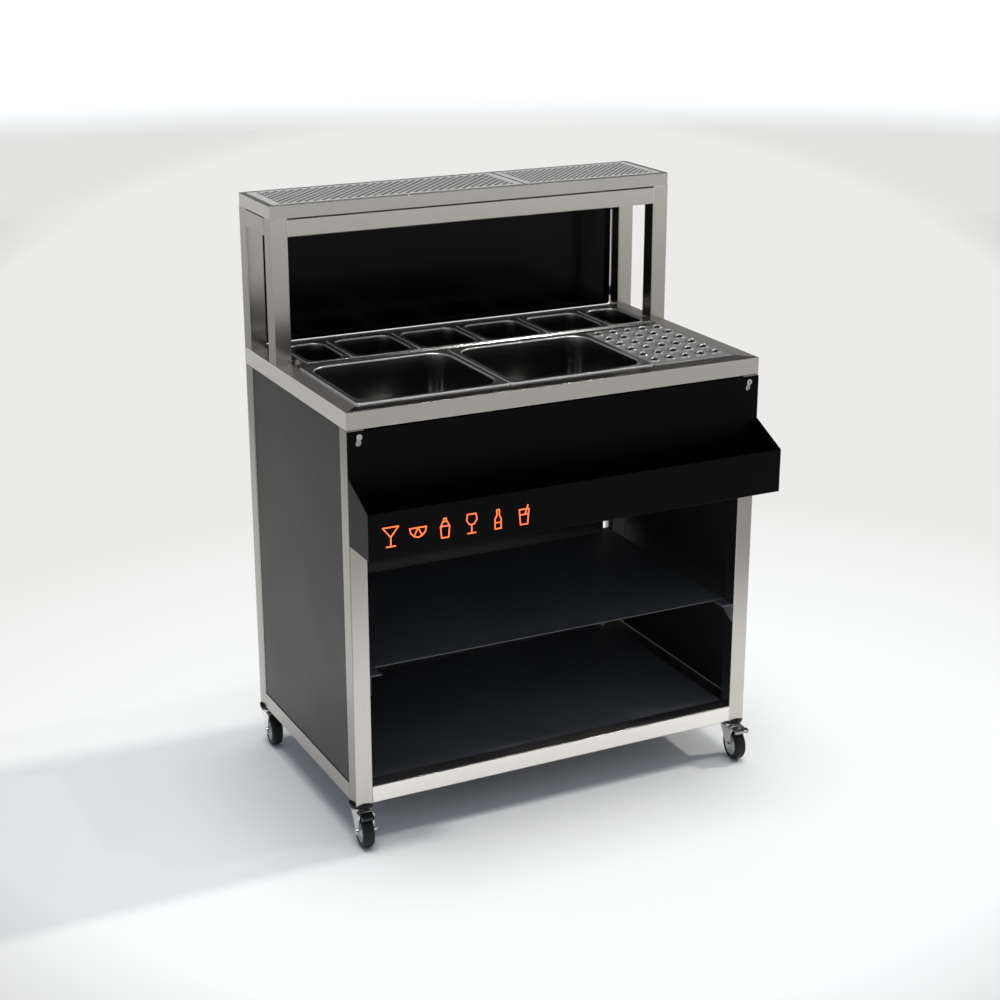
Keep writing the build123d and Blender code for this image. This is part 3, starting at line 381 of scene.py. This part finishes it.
def pan_profile(flange, depth, floor_round):
    """Rings as (inset, height below the flange's top, share of the way from lip to mouth corner)."""
    rings = [(0.0, pan_lip, 0.0), (0.0, pan_lip_round, 0.0)]
    for step in range(1, 5):
        angle = step / 4 * math.pi / 2
        inset = pan_lip_round * (1 - math.cos(angle))
        rings.append((inset, pan_lip_round * (1 - math.sin(angle)), 0.02))
    mouth_start = flange - pan_mouth_round
    rings += [(0.3 * flange, 0.0, 0.2), (0.55 * flange, pan_dish, 0.6), (mouth_start, pan_dish, 0.93)]
    for step in range(1, 7):
        angle = step / 6 * math.pi / 2
        inset = mouth_start + pan_mouth_round * math.sin(angle)
        rings.append((inset, pan_dish + pan_mouth_round * (1 - math.cos(angle)), 1.0))
    wall_end = depth - floor_round
    for share in (0.3, 0.65, 1.0):
        drop = pan_mouth_round + share * (wall_end - pan_mouth_round)
        rings.append((flange + pan_taper * (drop - pan_mouth_round), drop, 1.0))
    wall_inset = flange + pan_taper * (wall_end - pan_mouth_round)
    for step in range(1, 9):
        angle = step / 8 * math.pi / 2
        inset = wall_inset + floor_round * (1 - math.cos(angle))
        rings.append((inset, wall_end + floor_round * math.sin(angle), 1.0))
    return rings


def pressed_pan(node, flange, mouth_corner, floor_round):
    """A seamless pan in the place of its CAD node."""
    low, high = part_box(node)
    centre = (low + high) / 2
    half_x = (high.x - low.x) / 2
    half_y = (high.y - low.y) / 2
    depth = high.z - low.z
    inner = pan_profile(flange, depth - pan_sheet, floor_round)
    outer = [(inset - pan_sheet, drop + 0.2 * pan_sheet, turn) for inset, drop, turn in inner if turn == 1.0]
    outer = [
        (inset, drop + 0.8 * pan_sheet * min(1.0, drop / depth * 3), turn) for inset, drop, turn in outer
    ]
    under = [
        (pan_sheet, pan_lip, 0.0),
        (pan_sheet, pan_under_lip, 0.0),
        (flange - pan_mouth_round, pan_under_flange, 0.93),
    ]
    rings = list(reversed(inner)) + under + outer[3:]
    verts = []
    for inset, drop, turn in rings:
        corner = pan_lip_corner * (1 - turn) + mouth_corner * turn
        corner = corner if turn < 1 else max(corner - 0.6 * max(inset - flange, 0), floor_round * 0.4)
        corner = max(corner, pan_least_corner)
        ring = rounded_ring(half_x - inset, half_y - inset, corner, high.z - drop, pan_corner_steps)
        verts += [(x + centre.x, y + centre.y, z) for x, y, z in ring]
    count = 4 * (pan_corner_steps + 1)
    faces = []
    for ring in range(len(rings) - 1):
        for point in range(count):
            after = (point + 1) % count
            a, b = ring * count + point, ring * count + after
            faces.append((a, b, b + count, a + count))
    faces.append(tuple(range(count)))
    last = (len(rings) - 1) * count
    faces.append(tuple(last + point for point in reversed(range(count))))
    pan = new_piece(f"{node}_shell", verts, faces, pan_steel, node, smooth=50)
    pan.data.materials.append(pan_rim_lit_steel)
    pan.data.materials.append(edge_highlight_steel)
    # Painted highlights: the flange's level faces take the lighter rim colour and its rounded edges the
    # lightest one.
    for face in pan.data.polygons:
        if face.center.z > high.z - pan_rim_depth:
            face.material_index = 1 if abs(face.normal.z) > level_normal else 2
    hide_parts(node)


for pan_node in pan_nodes:
    large = pan_node.startswith("large")
    pressed_pan(
        pan_node,
        flange=(14.0 if large else 12.0) * MM,
        mouth_corner=(45.0 if large else 26.0) * MM,
        floor_round=14.0 * MM,
    )

# The drainer's hoods, in the places of the solid ones: each gets a flare with a thin rim, a mouth
# closed by a black sheet as painted shade, and a lip in front; the rims and the lip are lighter steel
# as painted highlights
hood_radius = 12.0 * MM
hood_rise = 5.5 * MM
hood_half_length = 8.0 * MM
hood_shift = 14.0 * MM
hood_pitch_x = 40.0 * MM
hood_pitch_y = 51.5 * MM
hood_columns = 5
hood_rows = 6
hood_steps = 6
flare_radius = 14.5 * MM
flare_rise = 7.0 * MM
flare_length = 11.0 * MM
flare_angle = math.radians(58)
flare_gap = 0.3 * MM
flare_rim = 0.8 * MM
lip_half_width = 12.0 * MM
lip_reach = 8.0 * MM
lip_angle = math.radians(86)
lip_bar = 1.5 * MM
mouth_inset = 0.2 * MM
mouth_lift = 0.15 * MM
edge_inset = 2.0 * MM
edge_bar = 1.1 * MM


def tube_along(points, radius, sides=6):
    """Vertices and faces of a closed round bar through the points."""
    verts, faces = [], []
    for index, point in enumerate(points):
        ahead = points[min(index + 1, len(points) - 1)] - points[max(index - 1, 0)]
        across = ahead.cross(Vector((0.0, 0.3, 1.0))).normalized()
        lift = across.cross(ahead).normalized()
        reach = radius * (0.5 if index in (0, len(points) - 1) else 1.0)
        for side in range(sides):
            angle = math.tau * side / sides
            verts.append(point + across * (reach * math.cos(angle)) + lift * (reach * math.sin(angle)))
    for index in range(len(points) - 1):
        for side in range(sides):
            after = (side + 1) % sides
            first = index * sides
            faces.append((first + side, first + after, first + sides + after, first + sides + side))
    faces.append(tuple(range(sides)))
    last = (len(points) - 1) * sides
    faces.append(tuple(last + side for side in reversed(range(sides))))
    return verts, faces


def hood_lines(x, mouth, plate_top):
    """One hood's lines, from left to right: the flare's rim and back, the lip, and the mouth's foot."""
    rim, back, lip, foot = [], [], [], []
    shell = hood_radius + flare_gap
    for step in range(-hood_steps, hood_steps + 1):
        angle = step / hood_steps * flare_angle
        height = plate_top - (flare_radius - flare_rise) + flare_radius * math.cos(angle)
        rim.append(Vector((x + flare_radius * math.sin(angle), mouth, height)))
        height = plate_top - (hood_radius - hood_rise) + shell * math.cos(angle)
        back.append(Vector((x + shell * math.sin(angle), mouth + flare_length, height)))
        turn = step / hood_steps * lip_angle
        lip_x = x + lip_half_width * math.sin(turn)
        lip.append(Vector((lip_x, mouth - lip_reach * math.cos(turn), plate_top)))
        foot.append(Vector((rim[-1].x, mouth + mouth_inset, plate_top + mouth_lift)))
    return rim, back, lip, foot


def dress_drainer():
    """On the drainer: hood rims, lips and flares, black sheets in the mouths as painted shade, and a front
    edge; rims, lips and edge are painted highlights.
    """
    low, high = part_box("drainer_plate")
    middle_x = (low.x + high.x) / 2
    middle_y = (low.y + high.y) / 2 + hood_shift
    plate_top = high.z - hood_rise
    rim_verts, rim_faces = [], []
    flare_verts, flare_faces = [], []
    mouth_shade_verts, mouth_shade_faces = [], []
    for column in range(hood_columns):
        for row in range(hood_rows):
            x = middle_x + (column - (hood_columns - 1) / 2) * hood_pitch_x
            mouth = middle_y + (row - (hood_rows - 1) / 2) * hood_pitch_y - hood_half_length
            rim, back, lip, foot = hood_lines(x, mouth, plate_top)
            first = len(flare_verts)
            flare_verts += rim + back
            for step in range(len(rim) - 1):
                nearer, further = first + step, first + len(rim) + step
                flare_faces.append((nearer, nearer + 1, further + 1, further))
            for points, thickness in ((rim, flare_rim), (lip, lip_bar)):
                bar_verts, bar_faces = tube_along(points, thickness)
                rim_faces += [tuple(len(rim_verts) + index for index in face) for face in bar_faces]
                rim_verts += bar_verts
            raised_lip = [point + Vector((0, 0, mouth_lift)) for point in lip]
            for upper, lower in ((rim, foot), (foot, raised_lip)):
                for step in range(len(upper) - 1):
                    first = len(mouth_shade_verts)
                    mouth_shade_verts += [upper[step], upper[step + 1], lower[step + 1], lower[step]]
                    mouth_shade_faces.append((first + 3, first + 2, first + 1, first))
    body = "drainer_plate"
    rims = new_piece("drainer_hood_rims", rim_verts, rim_faces, edge_highlight_steel, body, smooth=60)
    flares = new_piece("drainer_hood_flares", flare_verts, flare_faces, drainer_steel, body, smooth=60)
    # Painted shade: a black sheet closes each hood's mouth.
    mouths = new_piece("drainer_hood_mouth_shade", mouth_shade_verts, mouth_shade_faces, plastic_black, body)
    edge_y = low.y + edge_inset
    edge_shares = (0.02, 0.5, 0.98)
    front_edge = [Vector((low.x + share * (high.x - low.x), edge_y, plate_top)) for share in edge_shares]
    bar_verts, bar_faces = tube_along(front_edge, edge_bar)
    edge = new_piece("drainer_front_edge", bar_verts, bar_faces, edge_highlight_steel, body, smooth=60)


dress_drainer()

# Crown on the cross bar: it slopes towards the front, so that it catches the light
crown_slope = math.tan(math.radians(43.6))
crown_depth = 8.0 * MM
crown_rise = 3.6 * MM
crown_end_inset = 1.0 * MM
crown_back_top = 2.6 * MM
crown_back_foot = 2.0 * MM
front_normal = -0.3


def bar_crown():
    """Polished crown on the cross bar, with a slope towards the front."""
    low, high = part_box("pan_cross_bar")
    foot = high.y - crown_depth
    profile = [
        (foot, high.z),
        (foot + crown_rise / crown_slope, high.z + crown_rise),
        (high.y - crown_back_top, high.z + crown_rise),
        (high.y - crown_back_foot, high.z),
    ]
    ends = (low.x + crown_end_inset, high.x - crown_end_inset)
    verts = [(x, y, z) for x in ends for y, z in profile]
    count = len(profile)
    faces = [(step, step + count, step + 1 + count, step + 1) for step in range(count - 1)]
    faces += [tuple(range(count)), tuple(count + step for step in reversed(range(count)))]
    crown = new_piece("cross_bar_crown", verts, faces, crown_steel, "frame", smooth=30)
    crown.data.materials.append(cross_bar_steel)
    for face in crown.data.polygons:
        face.material_index = 0 if face.normal.y < front_normal else 1


bar_crown()

# Weld beads at the tube joints
bead_step = 1.6 * MM
bead_height_share = 0.22
bead_sink = 0.02 * MM
bead_sides = 5


def weld_bead(name, start, end, outward, width):
    """A low bead from start to end, on a face that looks outward, with ripples along it."""
    start, end, outward = Vector(start), Vector(end), Vector(outward)
    run = end - start
    across = outward.cross(run).normalized()
    steps = max(6, int(run.length / bead_step))
    verts = []
    for step in range(steps + 1):
        ripple = 1 + 0.18 * math.sin(step * 1.9) + 0.08 * math.sin(step * 0.7 + 1)
        taper = min(1.0, (step + 0.6) / 3, (steps - step + 0.6) / 3)
        for side in range(bead_sides):
            angle = math.pi * side / (bead_sides - 1)
            offset = across * (-math.cos(angle) * width / 2 * ripple)
            lift = outward * (math.sin(angle) * width * bead_height_share * ripple * taper - bead_sink)
            verts.append(start + run * (step / steps) + offset + lift)
    faces = []
    for step in range(steps):
        for side in range(bead_sides - 1):
            first = step * bead_sides + side
            faces.append((first, first + 1, first + bead_sides + 1, first + bead_sides))
    new_piece(name, verts, faces, weld_steel, "frame", smooth=60)


post_low, post_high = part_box("cabinet_post_front_left")
base_low, base_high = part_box("base_rails_long")
ring_low, ring_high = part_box("overshelf_bars_long")
seam_gap = 2 * MM
seam_widths = {"left": 1.4 * MM, "right": 2.4 * MM}
rim_bead_width = 2 * MM
rim_bead_z = ring_high.z + 1 * MM
front, rear = post_low.y, base_high.y
for side, x in (("left", post_high.x), ("right", -post_high.x)):
    for level, low, high in (("base", base_low.z, base_high.z), ("ring", ring_low.z, ring_high.z)):
        for end, y in (("front", front if level == "base" else ring_low.y), ("rear", rear)):
            bead_start = (x, y, low + seam_gap)
            bead_end = (x, y, high - seam_gap)
            outward = (0, -1 if end == "front" else 1, 0)
            weld_bead(f"{level}_bead_{end}_{side}", bead_start, bead_end, outward, seam_widths[side])
for side, sign in (("left", -1), ("right", 1)):
    bead_start = (sign * -post_low.x - sign * seam_gap, ring_low.y, rim_bead_z)
    bead_end = (sign * -post_high.x, ring_low.y, rim_bead_z)
    weld_bead(f"rim_bead_{side}", bead_start, bead_end, (0, -1, 0), rim_bead_width)

# Stage: a pale floor with a painted pool of light round the cart, a bright horizon and a dim ceiling
floor_half = 60.0
cart_place = (0.1, -0.35, 0.0)
pool_place = (2.24, 4.47, 0.0)
pool_turn = -26.6
pool_half_axes = (2.6, 6.25, 1.0)


def make_floor():
    """A wide pale floor: a painted pool of light round the cart, painted shade a little darker outside it,
    white far away.
    """
    mesh = bpy.data.meshes.new("floor")
    corners = [(-1, -1), (1, -1), (1, 1), (-1, 1)]
    mesh.from_pydata([(x * floor_half, y * floor_half, 0.0) for x, y in corners], [], [(0, 1, 2, 3)])
    floor = bpy.data.objects.new("floor", mesh)
    bpy.context.scene.collection.objects.link(floor)
    finish = Finish("floor_paint", (0.8, 0.795, 0.78), 0.95, Specular_IOR_Level=0.0)

    def distance(place, turn, scale):
        """Distance from a place, with each axis times its own scale after a turn."""
        mapping = finish.tree.nodes.new("ShaderNodeMapping")
        mapping.vector_type = "TEXTURE"
        mapping.inputs["Location"].default_value = place
        mapping.inputs["Rotation"].default_value = (0.0, 0.0, math.radians(turn))
        mapping.inputs["Scale"].default_value = scale
        finish.link(finish.coords, mapping.inputs["Vector"])
        length = finish.tree.nodes.new("ShaderNodeVectorMath")
        length.operation = "LENGTH"
        finish.link(mapping.outputs["Vector"], length.inputs[0])
        return length.outputs["Value"]

    from_cart = distance(cart_place, 0.0, (1.0, 1.0, 1.0))
    from_pool = distance(pool_place, pool_turn, pool_half_axes)
    # Painted light: a lit pool near the cart; painted shade: darker floor outside the pool.
    near = finish.spread(from_cart, 0.0, 1.0, start=1.0, end=2.3)
    inside = finish.blend(near, (0.95, 0.945, 0.935), (0.79, 0.77, 0.74))
    far = finish.spread(from_cart, 0.0, 1.0, start=4.0, end=8.0)
    outside = finish.blend(far, (0.38, 0.372, 0.36), (0.72, 0.705, 0.68))
    pool_edge = finish.spread(from_pool, 0.0, 1.0, start=0.98, end=1.14)
    paint = finish.mix(pool_edge, inside, outside)
    horizon = finish.spread(from_cart, 0.0, 1.0, start=11.0, end=13.0)
    finish.link(finish.mix(horizon, paint, (0.97, 0.97, 0.97)), finish.shader.inputs["Base Color"])
    mesh.materials.append(finish.material)


make_floor()

# World: a faint blue fill on the object, and a bright horizon under a dim ceiling for what is seen
world = bpy.data.worlds.new("studio")
bpy.context.scene.world = world
world.use_nodes = True
sky = world.node_tree
background = sky.nodes["Background"]
background.inputs["Color"].default_value = (0.72, 0.84, 1.0, 1.0)
background.inputs["Strength"].default_value = 0.32
upward = sky.nodes.new("ShaderNodeSeparateXYZ")
sky.links.new(sky.nodes.new("ShaderNodeTexCoord").outputs["Generated"], upward.inputs["Vector"])
room = sky.nodes.new("ShaderNodeValToRGB")
room.color_ramp.elements[0].position = 0.0
room.color_ramp.elements[0].color = (1.0, 0.99, 0.98, 1.0)
room.color_ramp.elements[1].position = 0.8
room.color_ramp.elements[1].color = (0.04, 0.042, 0.046, 1.0)
for height, light in ((0.05, 0.9), (0.13, 0.3), (0.22, 0.08), (0.5, 0.04)):
    stop = room.color_ramp.elements.new(height)
    stop.color = (light, light * 0.99, light * 0.98, 1.0)
sky.links.new(upward.outputs["Z"], room.inputs["Fac"])
seen = sky.nodes.new("ShaderNodeBackground")
sky.links.new(room.outputs["Color"], seen.inputs["Color"])
path = sky.nodes.new("ShaderNodeLightPath")
any_view = path.outputs["Is Camera Ray"]
for ray in ("Is Glossy Ray", "Is Transmission Ray"):
    either = sky.nodes.new("ShaderNodeMath")
    either.operation = "MAXIMUM"
    sky.links.new(any_view, either.inputs[0])
    sky.links.new(path.outputs[ray], either.inputs[1])
    any_view = either.outputs["Value"]
mix = sky.nodes.new("ShaderNodeMixShader")
sky.links.new(any_view, mix.inputs["Fac"])
sky.links.new(background.outputs["Background"], mix.inputs[1])
sky.links.new(seen.outputs["Background"], mix.inputs[2])
sky.links.new(mix.outputs["Shader"], sky.nodes["World Output"].inputs["Surface"])


def sun(name, direction, strength, angle, color):
    """A sun lamp that shines from a direction."""
    lamp = bpy.data.lights.new(name, "SUN")
    lamp.energy = strength
    lamp.angle = math.radians(angle)
    lamp.color = color
    holder = bpy.data.objects.new(name, lamp)
    holder.rotation_euler = Vector(direction).to_track_quat("Z", "Y").to_euler()
    bpy.context.scene.collection.objects.link(holder)


# Key light from the right, a broad soft ceiling, and a weak small lamp for the cross bar's glint
sun("key", (1.14, -0.09, 1.0), 1.0, 3.0, (1.0, 0.97, 0.93))
sun("ceiling", (0.0, 0.0, 1.0), 1.84, 36.0, (1.0, 0.985, 0.96))
sun("glint", (0.44, -0.2, 0.87), 0.12, 1.0, (1.0, 0.98, 0.95))

# Camera at the photograph's view, placed from the worktop's front left top corner
to_left, to_front, above = 1.400, 3.489, 1.096
azimuth = math.radians(-26.63)
elevation = math.radians(18.895)
camera_data = bpy.data.cameras.new("camera")
camera_data.sensor_width = 36.0
camera_data.lens = 69.31
camera = bpy.data.objects.new("camera", camera_data)
bpy.context.scene.collection.objects.link(camera)
worktop_low, worktop_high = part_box("worktop_rails_long")
camera.location = (worktop_low.x - to_left, worktop_low.y - to_front, worktop_high.z + above)
camera.rotation_euler = (math.pi / 2 - elevation, 0.0, azimuth)
bpy.context.scene.camera = camera
bpy.context.scene.view_settings.view_transform = "Standard"
